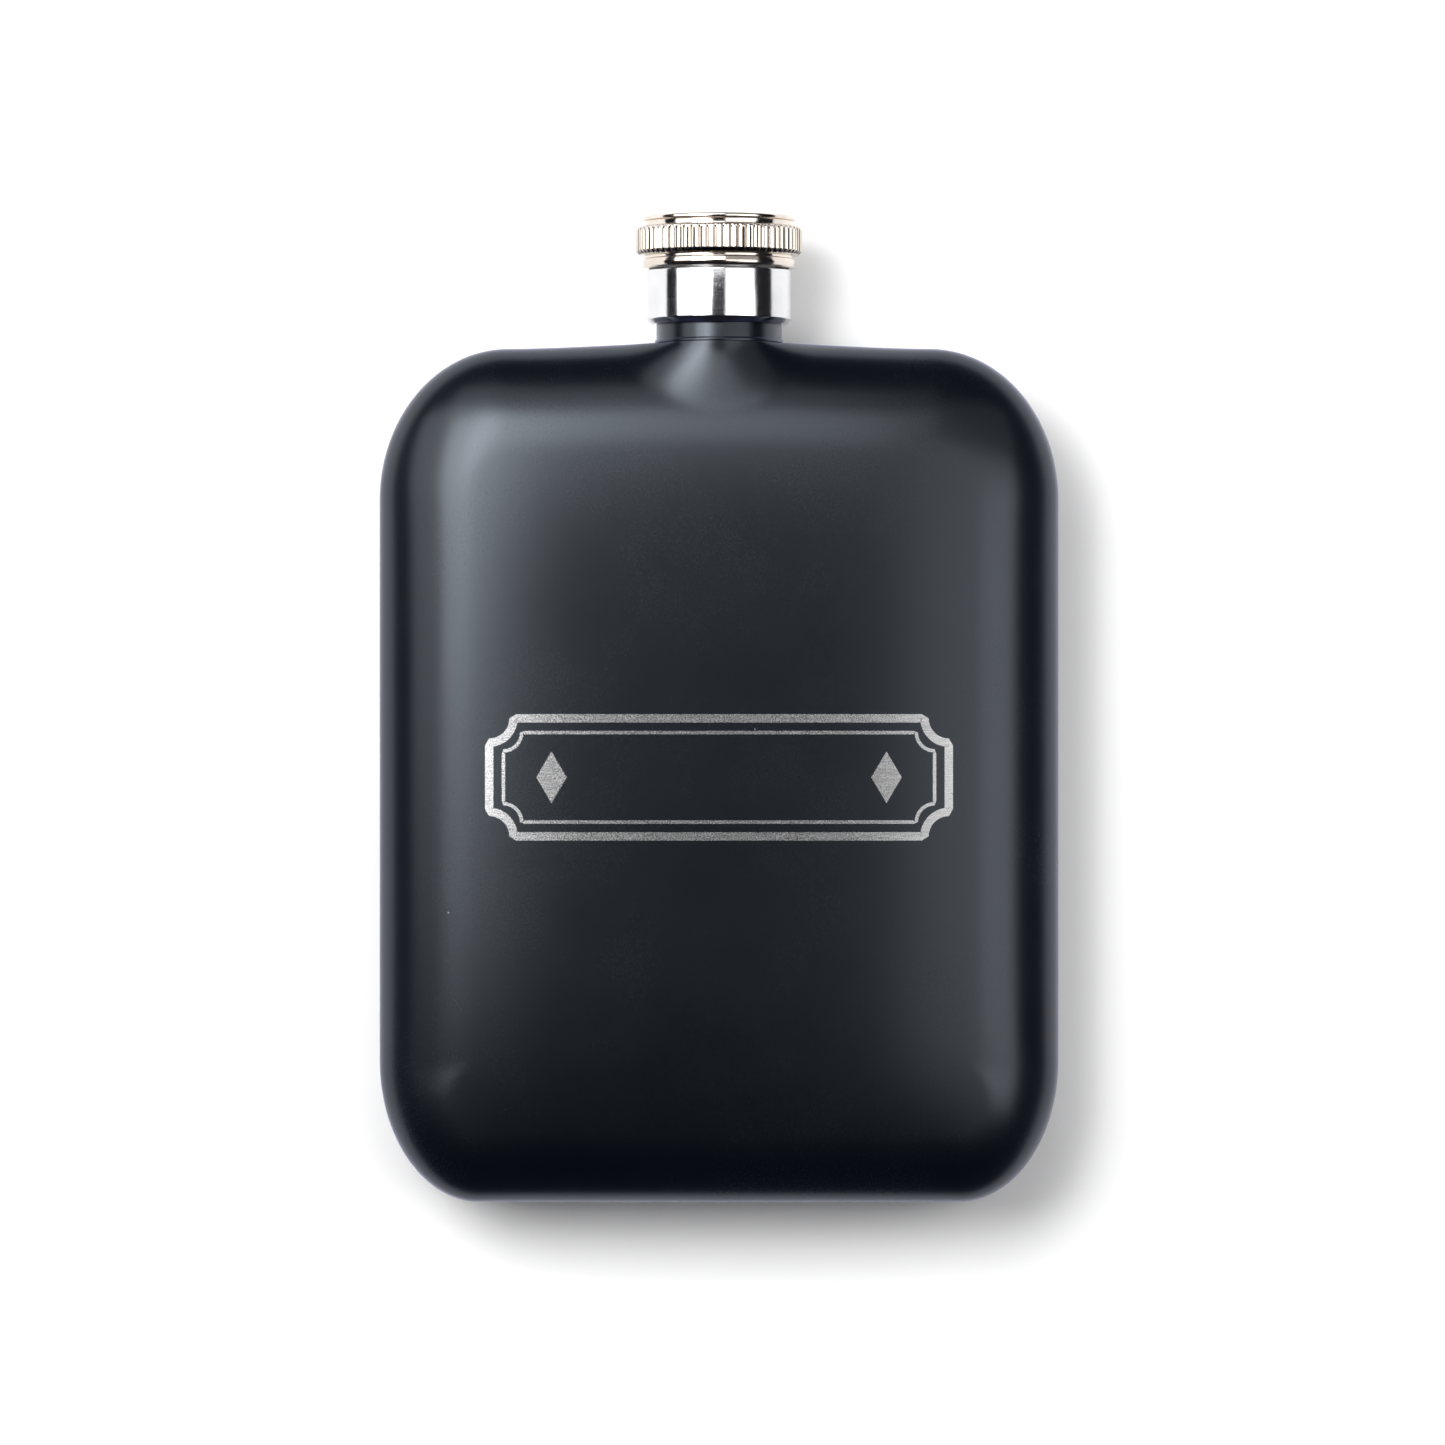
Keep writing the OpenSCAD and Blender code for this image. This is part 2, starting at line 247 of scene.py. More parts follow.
def densified(profile, start, end, step):
    """The profile with extra points along its stretch from one point to the next of two indexes."""
    steps = max(1, int(np.linalg.norm(profile[end] - profile[start]) / step))
    t = np.linspace(0, 1, steps + 1)[1:-1, None]
    return np.vstack([profile[:end], profile[start] + (profile[end] - profile[start]) * t, profile[end:]])


def turned(name, profile, segments, shape=None):
    """A solid of revolution about +Z from a closed (r, z) profile.

    Points with r = 0 become poles. shape(r, z, angle) may change the radii.
    """
    angles = np.arange(segments) * 2 * math.pi / segments
    points, rows = [], []
    for r, z in profile:
        if r < 1e-6:
            rows.append([len(points)])
            points.append((0.0, 0.0, z))
            continue
        radii = shape(np.full(segments, r), np.full(segments, z), angles) if shape else np.full(segments, r)
        rows.append(list(range(len(points), len(points) + segments)))
        points.extend(np.stack([radii * np.cos(angles), radii * np.sin(angles),
                                np.full(segments, z)], axis=1).tolist())
    faces = []
    for a, b in zip(rows, rows[1:] + rows[:1]):
        if len(a) == 1 and len(b) == 1:
            continue
        for j in range(segments):
            k = (j + 1) % segments
            if len(a) == 1:
                faces.append((a[0], b[k], b[j]))
            elif len(b) == 1:
                faces.append((a[j], a[k], b[0]))
            else:
                faces.append((a[j], a[k], b[k], b[j]))
    return mesh_object(name, points, faces)


# --- Body ---------------------------------------------------------------------------------------


def outline():
    """Points round the body's outline, clockwise from the top of the neck, and how many are on its right."""
    neck_steps, shoulder_steps, corner_steps, side_steps, base_steps = 24, 44, 36, 40, 24
    crowding = 1.3      # above 1, points of the shoulder lie closer together near the neck
    neck = HOLE_R * np.sin(np.linspace(0, math.pi / 2, neck_steps + 1)[:-1])
    shoulder = HOLE_R + (TOP_CX - HOLE_R) * np.linspace(0, 1, shoulder_steps + 1)[:-1] ** crowding
    top_x = np.concatenate([neck, shoulder])
    right = [np.stack([top_x, shoulder_line(top_x)], axis=1)]
    a = np.linspace(math.pi / 2, 0, corner_steps + 1)[:-1]
    right.append(np.stack([TOP_CX + TOP_CORNER[0] * np.cos(a), TOP_CZ + TOP_CORNER[1] * np.sin(a)], axis=1))
    side = np.linspace(TOP_CZ, BOTTOM_CZ, side_steps + 1)[:-1]
    right.append(np.stack([np.full_like(side, HALF_W), side], axis=1))
    a = np.linspace(0, math.pi / 2, corner_steps + 1)[:-1]
    right.append(np.stack([BOTTOM_CX + BOTTOM_CORNER[0] * np.cos(a),
                           BOTTOM_CZ - BOTTOM_CORNER[1] * np.sin(a)], axis=1))
    base = np.linspace(BOTTOM_CX, 0, base_steps + 1)
    right.append(np.stack([base, np.zeros_like(base)], axis=1))
    right = np.concatenate(right)
    left = right[-2:0:-1] * (-1, 1)
    return np.concatenate([right, left]), len(right)


def inset_outline(points, inset):
    """Outline points moved inwards, so that they lie at this distance inside the outline."""
    x, z = points[:, 0], points[:, 1]
    ax, side = np.abs(x), np.where(x < 0, -1.0, 1.0)
    moved = np.stack([x - side * inset, z], axis=1)
    zones = ((z > TOP_CZ, TOP_CX, TOP_CZ, -inset), (z < BOTTOM_CZ, BOTTOM_CX, BOTTOM_CZ, inset))
    for zone, cx, cz, flat in zones:
        centre = np.stack([side * cx, np.full_like(z, cz)], axis=1)
        ray = points - centre
        length = np.maximum(np.linalg.norm(ray, axis=1, keepdims=True), 1e-9)
        in_corner = zone & (ax > cx)
        moved = np.where(in_corner[:, None], centre + ray * (1 - inset / length), moved)
        moved = np.where((zone & ~in_corner)[:, None], points + (0, flat), moved)
    return moved


def half_shell(name, side):
    """One drawn half of the body: side is -1 for the front and 1 for the back.

    Its outer and inner skins are rings that run in from the outline, and a lip joins them at the seam.
    """
    rings = 44
    last_ring = 0.985   # how far towards the spine the last ring lies
    crowding = 1.7      # above 1, rings lie closer together near the outline
    line, right_count = outline()
    count = len(line)
    points = []
    for inset in (0.0, WALL):
        start = inset_outline(line, inset)
        at_hole = (line[:, 1] > MID_Z) & (np.abs(line[:, 0]) < HOLE_R)
        hole = np.where(at_hole, np.sqrt(np.clip(HOLE_R ** 2 - line[:, 0] ** 2, 0, None)), 0)
        points.append(np.stack([start[:, 0], bend_y(start[:, 0]) + side * hole, start[:, 1]], axis=1))
        splay = SPINE_SPLAY * np.abs(start[:, 0])
        spine_z = np.clip(start[:, 1], SPINE_LOW + splay, SPINE_HIGH - splay)
        spine = np.stack([np.zeros(count), spine_z], axis=1)
        for j in range(rings + 1):
            p = start + (spine - start) * last_ring * (j / rings) ** crowding
            y = bend_y(p[:, 0]) + side * depth(p[:, 0], p[:, 1], inset)
            y = np.clip(y, cad_low.y / MM, cad_high.y / MM)
            points.append(np.stack([p[:, 0], y, p[:, 1]], axis=1))
    ring_total = rings + 2
    skin = count * ring_total
    faces = []
    for base, turn in ((0, 1), (skin, -1)):
        for j in range(ring_total - 1):
            for i in range(count):
                a, b = base + j * count + i, base + j * count + (i + 1) % count
                faces.append((a, b, b + count, a + count)[::turn])
        last = base + (ring_total - 1) * count
        faces.append((last, last + 1, last + count - 1)[::turn])
        for i in range(1, right_count - 2):
            faces.append((last + i, last + i + 1, last + count - i - 1, last + count - i)[::turn])
        end = last + right_count - 1
        faces.append((end - 1, end, end + 1)[::turn])
    for i in range(count):
        j = (i + 1) % count
        faces.append((i, i + skin, j + skin, j))
    if side < 0:
        faces = [f[::-1] for f in faces]
    return mesh_object(name, np.concatenate(points), faces)


# --- Neck and cap -------------------------------------------------------------------------------


def helix_height(z, angle, start_z, start_angle):
    """Share of a thread's full height at points on its tube, 0 away from the ridge."""
    share = np.zeros_like(z)
    for lap in range(-1, 3):
        travelled = angle - start_angle + 2 * math.pi * lap
        total = THREAD_TURNS * 2 * math.pi
        across = np.abs(z - start_z - PITCH * travelled / (2 * math.pi))
        ridge = np.clip((RIDGE_HALF - across) / RIDGE_FLANK, 0, 1)
        ridge = ridge * ridge * (3 - 2 * ridge)
        fade = np.clip(np.minimum(travelled, total - travelled) / RIDGE_RUN_OUT, 0, 1)
        share = np.maximum(share, ridge * fade * fade * (3 - 2 * fade))
    return share


def make_ferrule():
    """Painted ring at the foot of the neck, with its rolled foot."""
    z0, z1 = ferrule_low.z, ferrule_high.z
    foot_r, ring_r = FLARE_R - 0.1, 8.3
    profile = filleted([(SPOUT_R, z0, 0), (foot_r, z0, 0.1), (foot_r, z0 + 0.42, 0.18),
                        (ring_r, z0 + 0.5, 0.08), (ring_r, z1, 0.08), (SPOUT_R, z1, 0)])
    return turned("ferrule", profile, ROUND_SEGMENTS)


def make_collar():
    """Polished sleeve, its foot turned in towards the ferrule."""
    z0, z1 = collar_low.z, collar_high.z
    profile = filleted([(SPOUT_R, z0, 0), (COLLAR_R - 0.6, z0, 0.12), (COLLAR_R, z0 + 0.65, 0.42),
                        (COLLAR_R, z1, 0.22), (SPOUT_R, z1, 0)], steps=8)
    return turned("collar", profile, ROUND_SEGMENTS)


def make_spout():
    """Tube with its outside thread, chamfered at the mouth."""
    z0, z1 = spout_low.z, SPOUT_TOP
    corners = [(BORE_R, z0, 0), (SPOUT_R, z0, 0.15), (SPOUT_R, collar_high.z, 0), (SPOUT_R, z1, 0.25),
               (BORE_R, z1, 0.25)]
    profile = filleted(corners, steps=5)
    start = int(np.argmin(np.abs(profile - (SPOUT_R, collar_high.z)).sum(1)))
    profile = densified(profile, start, start + 1, THREAD_STEP)

    def thread(r, z, angle):
        outside = (np.abs(r - SPOUT_R) < 0.01) & (z > collar_high.z)
        return r + np.where(outside, THREAD_DEPTH * helix_height(z, angle, THREAD_Z, 0.0), 0)

    return turned("spout", profile, THREAD_SEGMENTS, thread)


def make_liner():
    """Threaded liner inside the cap."""
    z0, z1 = liner_low.z, liner_high.z
    roof_sheet = 0.6
    roof = z1 - roof_sheet
    corners = [(0, roof, 0), (LINER_BORE_R, roof, 0.1), (LINER_BORE_R, z0, 0.15), (LINER_R, z0, 0.12),
               (LINER_R, z1, 0.1), (0, z1, 0)]
    profile = filleted(corners, steps=5)
    end = int(np.argmax((np.abs(profile[:, 0] - LINER_BORE_R) < 0.001) & (profile[:, 1] < roof - 1)))
    profile = densified(profile, end - 1, end, THREAD_STEP)
    start_angle = 2 * math.pi * (LINER_THREAD_Z - THREAD_Z) / PITCH + math.pi

    def thread(r, z, angle):
        inside = (np.abs(r - LINER_BORE_R) < 0.01) & (z < roof - 0.3)
        turned_angle = np.mod(angle - start_angle, 2 * math.pi) + start_angle
        height = THREAD_DEPTH * helix_height(z, turned_angle, LINER_THREAD_Z, start_angle)
        return r - np.where(inside, height, 0)

    return turned("liner", profile, THREAD_SEGMENTS, thread)


def make_seal():
    """Soft disc with rounded edges and the shallow ring that the spout's rim has pressed into it."""
    z0, z1 = seal_low.z, seal_high.z
    rim = (SPOUT_R + BORE_R) / 2
    outer, inner, pressed = 0.7, 0.4, 0.06
    profile = filleted([(0, z0, 0), (rim - outer, z0, 0.2), (rim - inner, z0 + pressed, 0.2),
                        (rim + inner, z0 + pressed, 0.2), (rim + outer, z0, 0.1), (SEAL_R, z0, 0.2),
                        (SEAL_R, z1, 0.2), (0, z1, 0)])
    return turned("seal", profile, SEAL_SEGMENTS)


def make_cap():
    """Spun cap: lip bead, groove, knurled band, recess, rim bead and dished crown."""
    lip_r, groove_r, recess_r, rim_r = 10.2, 9.85, 9.95, 10.33
    knurl_low, knurl_high = CAP_Z + 1.75, CAP_Z + 5.45
    sheet, crown_dip = 0.65, 0.25
    crown_z = CAP_TOP - crown_dip
    corners = [
        (LINER_R, CAP_Z, 0.08), (lip_r - 0.1, CAP_Z, 0.3), (lip_r, CAP_Z + 0.62, 0.5),
        (lip_r - 0.12, CAP_Z + 1.22, 0.25), (groove_r, CAP_Z + 1.28, 0.06),
        (groove_r, CAP_Z + 1.62, 0.08), (KNURL_R - 0.55, knurl_low, 0.1),
        (KNURL_R, knurl_low + 0.5, 0.25), (KNURL_R, knurl_high, 0.42), (recess_r, knurl_high + 0.08, 0.1),
        (recess_r, CAP_TOP - 0.68, 0.1), (rim_r, CAP_TOP - 0.64, 0.25), (rim_r, CAP_TOP, 0.28),
        (rim_r - 0.75, CAP_TOP, 0.2), (rim_r - 1.0, crown_z, 0.25), (0, crown_z, 0), (0, crown_z - sheet, 0),
        (LINER_R, crown_z - sheet, 0.1)]
    profile = filleted(corners, steps=6)
    band = np.where(np.abs(profile[:, 0] - KNURL_R) < 1e-6)[0]
    profile = densified(profile, band[0], band[-1], KNURL_STEP)

    groove_half, groove_depth, rounding = 0.3, 0.26, 0.1    # the first is a share of a tooth's pitch

    def knurl(r, z, angle):
        """Upright flutes: rounded teeth between grooves, which run out at both ends."""
        phase = np.mod(angle * TEETH / (2 * math.pi), 1.0) - 0.5
        groove = np.clip(1 - np.abs(phase) / groove_half, 0, 1)
        groove = groove * groove * (3 - 2 * groove)
        tooth = (0.5 - np.abs(phase)) * 2
        run_out = np.clip((z - knurl_low) / 0.35, 0, 1) * np.clip((knurl_high + 0.05 - z) / 0.5, 0, 1)
        on_band = np.clip((r - groove_r - 0.2) / 0.4, 0, 1)
        return r - on_band * run_out * (groove_depth * groove + rounding * (1 - tooth) ** 2)

    return turned("cap", profile, TEETH * TOOTH_SEGMENTS, knurl)


# --- Materials ----------------------------------------------------------------------------------


class Shader:
    """A small helper that builds one procedural material on a Principled shader."""

    def __init__(self, name, **sockets):
        self.material = bpy.data.materials.new(name)
        self.material.use_nodes = True
        self.tree = self.material.node_tree
        self.bsdf = self.tree.nodes["Principled BSDF"]
        for key, value in sockets.items():
            self.bsdf.inputs[key.replace("_", " ")].default_value = value
        self.place = self.add("ShaderNodeTexCoord").outputs["Object"]

    def add(self, kind, *inputs, **settings):
        """A node with its properties set and its inputs linked or set in order."""
        made = self.tree.nodes.new(kind)
        for key, value in settings.items():
            setattr(made, key, value)
        for socket, value in zip(made.inputs, inputs):
            self.put(socket, value)
        return made

    def put(self, socket, value):
        """Links a socket to an output or sets its value; None leaves it alone."""
        if value is None:
            return
        if isinstance(value, bpy.types.NodeSocket):
            self.tree.links.new(value, socket)
        else:
            socket.default_value = value

    def to(self, name, value):
        self.put(self.bsdf.inputs[name], value)

    def math(self, operation, a, b):
        return self.add("ShaderNodeMath", a, b, operation=operation).outputs[0]

    def stretched(self, x, y, z):
        """The object's coordinates, scaled along each axis."""
        made = self.add("ShaderNodeVectorMath", self.place, (x, y, z), operation="MULTIPLY")
        return made.outputs[0]

    def noise(self, scale, detail=3.0, rough=0.55, vector=None):
        made = self.add("ShaderNodeTexNoise")
        self.put(made.inputs["Vector"], self.place if vector is None else vector)
        self.put(made.inputs["Scale"], scale)
        self.put(made.inputs["Detail"], detail)
        self.put(made.inputs["Roughness"], rough)
        return made.outputs["Fac"]

    def ramp(self, value, low, high, out_low=0.0, out_high=1.0):
        made = self.add("ShaderNodeMapRange")
        for name, v in (("Value", value), ("From Min", low), ("From Max", high),
                        ("To Min", out_low), ("To Max", out_high)):
            self.put(made.inputs[name], v)
        return made.outputs[0]

    def mix(self, share, a, b):
        made = self.add("ShaderNodeMix", data_type="RGBA")
        self.put(made.inputs["Factor"], share)
        self.put(made.inputs["A"], a)
        self.put(made.inputs["B"], b)
        return made.outputs["Result"]

    def specks(self, scale, size, share):
        """Small scattered dots: 1 inside them. share is how many of the cells hold one."""
        cells = self.add("ShaderNodeTexVoronoi", feature="F1")
        self.put(cells.inputs["Vector"], self.place)
        self.put(cells.inputs["Scale"], scale)
        near = self.ramp(cells.outputs["Distance"], size, size * 0.5)
        lot = self.add("ShaderNodeSeparateColor", cells.outputs["Color"]).outputs[0]
        chosen = self.math("GREATER_THAN", lot, 1 - share)
        return self.math("MULTIPLY", near, chosen)

    def bump(self, *layers):
        """Stacked bumps of (height, strength, depth in millimetres)."""
        normal = None
        for height, strength, depth_mm in layers:
            made = self.add("ShaderNodeBump")
            self.put(made.inputs["Height"], height)
            self.put(made.inputs["Strength"], strength)
            self.put(made.inputs["Distance"], depth_mm * MM)
            self.put(made.inputs["Normal"], normal)
            normal = made.outputs[0]
        self.to("Normal", normal)


def coat_material():
    """Near-black powder coat: fine grain, faint mottling and a few specks of dust."""
    m = Shader("powder_coat", Specular_IOR_Level=0.5, Specular_Tint=(0.8, 0.89, 1.0, 1), Sheen_Weight=0.3,
               Sheen_Roughness=0.35, Sheen_Tint=(0.3, 0.35, 1.0, 1))
    grain = m.noise(4200, 2.0, 0.6)
    mottle = m.noise(60, 3.0)
    dust = m.math("MAXIMUM", m.specks(420, 0.045, 0.05), m.specks(170, 0.03, 0.07))
    base = m.mix(m.ramp(mottle, 0.3, 0.7), (0.0008, 0.0016, 0.0028, 1), (0.0012, 0.0022, 0.0036, 1))
    m.to("Base Color", m.mix(m.math("MULTIPLY", dust, 0.5), base, (0.35, 0.36, 0.38, 1)))
    patches, fine = m.ramp(mottle, 0.3, 0.7, 0.24, 0.265), m.ramp(grain, 0.3, 0.7, -0.02, 0.02)
    m.to("Roughness", m.math("ADD", patches, fine))
    m.bump((grain, 0.35, 0.006), (dust, 0.4, 0.02))
    return m.material


def collar_material():
    """Polished stainless steel with fine marks round the neck and a scatter of pits."""
    m = Shader("polished_steel", Metallic=1.0)
    lines = m.noise(1.0, 4.0, 0.6, m.stretched(260, 260, 9000))
    pits = m.noise(5200, 3.0, 0.7)
    cloud = m.noise(220, 3.0)
    m.to("Base Color", m.mix(m.ramp(cloud, 0.3, 0.7), (0.60, 0.60, 0.61, 1), (0.72, 0.72, 0.735, 1)))
    m.to("Roughness", m.math("ADD", m.ramp(lines, 0.35, 0.65, 0.07, 0.12), m.ramp(pits, 0.45, 0.7, 0.0, 0.1)))
    m.bump((lines, 0.25, 0.004), (pits, 0.35, 0.005))
    return m.material


def cap_material():
    """Warm nickel plate, with spin marks round the axis and painted shade darkening the grooves between the
    teeth.
    """
    m = Shader("warm_nickel", Metallic=1.0)
    flat = m.add("ShaderNodeVectorMath", m.place, (1, 1, 0), operation="MULTIPLY").outputs[0]
    radius = m.add("ShaderNodeVectorMath", flat, operation="LENGTH").outputs["Value"]
    at = m.add("ShaderNodeCombineXYZ", radius).outputs[0]
    rings = m.noise(6000, 3.0, 0.6, at)
    fine = m.noise(3800, 3.0, 0.65)
    cloud = m.noise(260, 3.0)
    plate = m.mix(m.ramp(cloud, 0.3, 0.7), (0.60, 0.53, 0.47, 1), (0.70, 0.64, 0.58, 1))
    # Painted shade: the plate turns near black deep in the grooves between the knurl's teeth, where shade
    # falls.
    deep, tips = (KNURL_R - 0.5) * MM, (KNURL_R - 0.1) * MM
    outside, inside = m.ramp(radius, deep, deep + 0.05 * MM), m.ramp(radius, tips - 0.2 * MM, tips, 1.0, 0.0)
    groove_shade = m.math("MULTIPLY", outside, inside)
    m.to("Base Color", m.mix(groove_shade, plate, (0.11, 0.09, 0.08, 1)))
    m.to("Roughness", m.math("ADD", m.ramp(rings, 0.35, 0.65, 0.07, 0.12), m.ramp(fine, 0.4, 0.7, 0.0, 0.06)))
    m.bump((rings, 0.2, 0.003), (fine, 0.2, 0.004))
    return m.material


def spout_material():
    """Turned steel, with tool marks along the axis."""
    m = Shader("turned_steel", Metallic=1.0)
    lines = m.noise(1.0, 3.0, 0.6, m.stretched(200, 200, 6000))
    cloud = m.noise(300, 3.0)
    m.to("Base Color", m.mix(m.ramp(cloud, 0.3, 0.7), (0.52, 0.52, 0.53, 1), (0.66, 0.66, 0.67, 1)))
    m.to("Roughness", m.ramp(lines, 0.3, 0.7, 0.22, 0.38))
    m.bump((lines, 0.3, 0.006))
    return m.material


def engraving_material():
    """Bare steel left by a laser: grainy, with fine level streaks."""
    m = Shader("engraved_steel", Metallic=1.0)
    streaks = m.noise(1.0, 3.0, 0.6, m.stretched(500, 500, 7500))
    grain = m.noise(6000, 3.0, 0.7)
    both = m.math("ADD", m.math("MULTIPLY", streaks, 0.5), m.math("MULTIPLY", grain, 0.5))
    m.to("Base Color", m.mix(m.ramp(both, 0.35, 0.65), (0.25, 0.25, 0.252, 1), (0.52, 0.52, 0.525, 1)))
    m.to("Roughness", m.ramp(grain, 0.3, 0.7, 0.2, 0.32))
    m.bump((streaks, 0.4, 0.008), (grain, 0.5, 0.008))
    return m.material


def liner_material():
    """Moulded off-white plastic."""
    m = Shader("liner_plastic", Subsurface_Weight=0.05)
    cloud = m.noise(400, 3.0)
    fine = m.noise(4000, 2.0)
    m.to("Base Color", m.mix(m.ramp(cloud, 0.3, 0.7), (0.68, 0.66, 0.61, 1), (0.76, 0.745, 0.70, 1)))
    m.to("Roughness", m.ramp(fine, 0.3, 0.7, 0.38, 0.5))
    m.bump((fine, 0.2, 0.005))
    return m.material


def seal_material():
    """Matte food-grade silicone."""
    m = Shader("seal_silicone", Subsurface_Weight=0.1)
    cloud = m.noise(500, 3.0)
    fine = m.noise(3000, 3.0)
    m.to("Base Color", m.mix(m.ramp(cloud, 0.3, 0.7), (0.70, 0.68, 0.62, 1), (0.80, 0.78, 0.72, 1)))
    m.to("Roughness", m.ramp(fine, 0.3, 0.7, 0.6, 0.75))
    m.bump((fine, 0.3, 0.01))
    return m.material


# --- Blank engraving panel ----------------------------------------------------------------------

PANEL_Z = 56.2      # middle height of the panel
PANEL_W, PANEL_H = 61.5, 16.6
BANDS = ((0.0, 1.1, 3.2), (2.2, 0.45, 2.4))     # inset, width and corner radius of the two frames
LOZENGE_X, LOZENGE_HALF_W, LOZENGE_HALF_H = 22.0, 2.0, 3.4
PROUD = 0.012       # the bare steel is drawn this far in front of the coat, in millimetres
SUNK = 0.06         # and its edges reach this far into it


def on_front(x, z, out):
    """Points on the front face, moved out along its normal."""
    step = 0.05
    y = bend_y(x) - depth(x, z, 0)
    right, left = x + step, x - step
    slope_x = (bend_y(right) - depth(right, z, 0) - bend_y(left) + depth(left, z, 0)) / (2 * step)
    slope_z = (depth(x, z - step, 0) - depth(x, z + step, 0)) / (2 * step)
    normal = np.stack([slope_x, -np.ones_like(x), slope_z], axis=1)
    normal /= np.linalg.norm(normal, axis=1, keepdims=True)
    return np.stack([x, y, z], axis=1) + normal * out


def frame_path(width, height, notch, step=0.35):
    """A rectangle with hollow round corners: its points and outward normals, anticlockwise."""
    points, normals = [], []
    half_w, half_h = width / 2, height / 2
    for sx, sz, first in ((1, 1, 0), (-1, 1, 1), (-1, -1, 2), (1, -1, 3)):
        turn = first * math.pi / 2
        arc_points = max(6, int(notch * 1.6 / step))    # a quarter arc is about 1.6 radii long
        arc = np.linspace(0, math.pi / 2, arc_points)
        a = math.pi * 1.5 + turn - arc
        centre = np.array((sx * half_w, sz * half_h))
        ring = np.stack([np.cos(a), np.sin(a)], axis=1)
        points.extend(centre + ring * notch)
        normals.extend(ring * -1)
        length = (half_w if first % 2 == 0 else half_h) * 2 - 2 * notch
        along = np.array(((-1, 0), (0, -1), (1, 0), (0, 1))[first], float)
        out = np.array(((0, 1), (-1, 0), (0, -1), (1, 0))[first], float)
        t = np.linspace(0, 1, max(3, int(length / step)))[1:-1]
        points.extend(points[-1] + along * length * t[:, None])
        normals.extend([out] * len(t))
    return np.array(points), np.array(normals)


def ribbon(name, path, normals, width):
    """A closed flat band of bare steel along a path on the front face."""
    across = np.linspace(-0.5, 0.5, 4) * width
    tops = [on_front(*(path + normals * a).T, PROUD) for a in across]
    bottoms = [on_front(*(path + normals * a).T, -SUNK) for a in across[::-1]]
    rows = tops + bottoms
    count = len(path)
    faces = []
    for k in range(len(rows)):
        for i in range(count):
            j, m = (i + 1) % count, (k + 1) % len(rows)
            faces.append((k * count + i, k * count + j, m * count + j, m * count + i))
    return mesh_object(name, np.concatenate(rows), faces)


def lozenge(name, x, half_w, half_h):
    """A small diamond of bare steel on the front face."""
    steps, rings = 10, 5
    edge = np.array([(half_w, 0), (0, half_h), (-half_w, 0), (0, -half_h)], float)
    share = np.linspace(0, 1, steps, endpoint=False)[:, None]
    rim = np.concatenate([edge[i] + (edge[(i + 1) % 4] - edge[i]) * share for i in range(4)])
    count = len(rim)
    centre = np.array((x, PANEL_Z))
    rows = [on_front(*(centre + rim * k / rings).T, PROUD) for k in range(1, rings + 1)]
    rows += [on_front(*(centre + rim * k / rings).T, -SUNK) for k in range(rings, 0, -1)]
    points = np.concatenate(rows + [on_front(*(centre[None]).T, PROUD), on_front(*(centre[None]).T, -SUNK)])
    top, bottom = len(points) - 2, len(points) - 1
    faces = []
    for k in range(len(rows) - 1):
        for i in range(count):
            j = (i + 1) % count
            faces.append((k * count + i, (k + 1) * count + i, (k + 1) * count + j, k * count + j))
    last = (len(rows) - 1) * count
    for i in range(count):
        j = (i + 1) % count
        faces.append((top, i, j))
        faces.append((bottom, last + j, last + i))
    return mesh_object(name, points, faces)


# --- Camera, stage and lights -------------------------------------------------------------------


def make_camera():
    """Long lens, square on to the front face, a little above the middle of the body."""
    data = bpy.data.cameras.new("camera")
    data.sensor_width = 36.0
    distance, view_w, right, up = 1.0, 0.1918, 0.00046, 0.0634
    data.lens = data.sensor_width * distance / view_w
    camera = bpy.data.objects.new("camera", data)
    camera.location = (right, -distance, up)
    camera.rotation_euler = (math.pi / 2, 0, 0)
    data.clip_start, data.clip_end = 0.05, 20
    bpy.context.collection.objects.link(camera)
    bpy.context.scene.camera = camera


def make_stage(back_y):
    """Pale sheet that the flask lies on, behind its back. It is open to the eye from behind."""
    half_w, low, high = 0.6, -0.6, 0.7
    mesh = bpy.data.meshes.new("sheet")
    mesh.from_pydata([(-half_w, back_y, low), (half_w, back_y, low), (half_w, back_y, high),
                      (-half_w, back_y, high)], [], [(0, 1, 2, 3)])
    sheet = bpy.data.objects.new("sheet", mesh)
    bpy.context.collection.objects.link(sheet)
    sheet.visible_shadow = False
    material = bpy.data.materials.new("sheet_paper")
    material.use_nodes = True
    tree = material.node_tree
    tree.nodes.clear()
    geometry = tree.nodes.new("ShaderNodeNewGeometry")
    white = tree.nodes.new("ShaderNodeBsdfDiffuse")
    white.inputs["Color"].default_value = (0.92, 0.92, 0.92, 1)
    clear = tree.nodes.new("ShaderNodeBsdfTransparent")
    pick = tree.nodes.new("ShaderNodeMixShader")
    out = tree.nodes.new("ShaderNodeOutputMaterial")
    tree.links.new(geometry.outputs["Backfacing"], pick.inputs[0])
    tree.links.new(white.outputs[0], pick.inputs[1])
    tree.links.new(clear.outputs[0], pick.inputs[2])
    tree.links.new(pick.outputs[0], out.inputs[0])
    mesh.materials.append(material)


